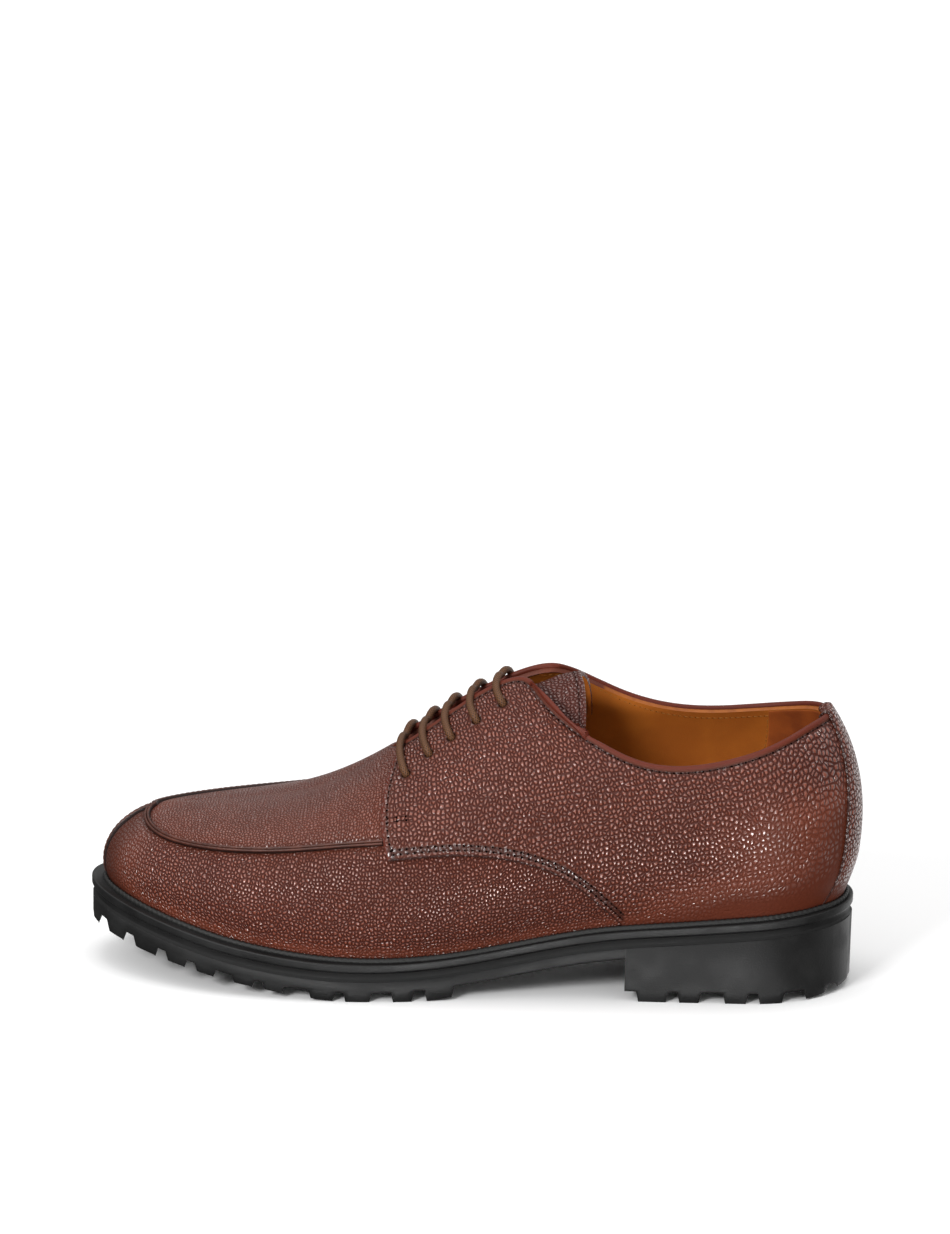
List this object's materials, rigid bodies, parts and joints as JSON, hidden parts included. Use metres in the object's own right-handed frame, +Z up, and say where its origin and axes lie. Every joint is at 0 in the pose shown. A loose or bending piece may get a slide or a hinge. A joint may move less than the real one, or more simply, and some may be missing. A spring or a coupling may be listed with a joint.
{
  "type": "lace-up shoe",
  "caption": "Split-toe derby shoe in brown pebbled leather with a raised apron seam, round waxed laces and a black lugged rubber sole; stands empty.",
  "frame": {"origin": "on the floor under the middle of the shoe's outside box", "axes": "+X towards the heel, so the toe points along -X; -Y towards the outer side of the foot; +Z up"},
  "size_m": [0.3075, 0.1028, 0.1244],
  "materials": {
    "vamp_leather": "brown pebbled leather, satin, darkened along seams and welt",
    "quarter_leather": "brown pebbled leather, satin",
    "strip_leather": "dark brown pebbled leather, satin",
    "seam_leather": "dark brown raised seam, satin",
    "tongue_leather": "brown leather, satin, tan lining behind",
    "insole_leather": "tan leather, smooth",
    "cork": "ground cork, matt",
    "welt_leather": "black edge dressing, satin",
    "midsole_leather": "black edge dressing, matt",
    "sole_rubber": "black rubber, matt",
    "heel_rubber": "black rubber, matt",
    "waxed_cord": "round waxed cotton, brown, low sheen"
  },
  "bodies": {
    "root": {"upper": "vamp_leather", "quarter_lateral": "quarter_leather", "quarter_medial": "quarter_leather", "back_strip": "strip_leather", "apron_seam": "seam_leather", "toe_seam": "seam_leather", "tongue": "tongue_leather", "insole": "insole_leather", "filler": "cork", "welt": "welt_leather", "midsole": "midsole_leather", "outsole": "sole_rubber", "heel": "heel_rubber", "lace_bar_1": "waxed_cord", "lace_bar_2": "waxed_cord", "lace_bar_3": "waxed_cord", "lace_bar_4": "waxed_cord", "lace_bar_5": "waxed_cord"}
  },
  "joints": []
}
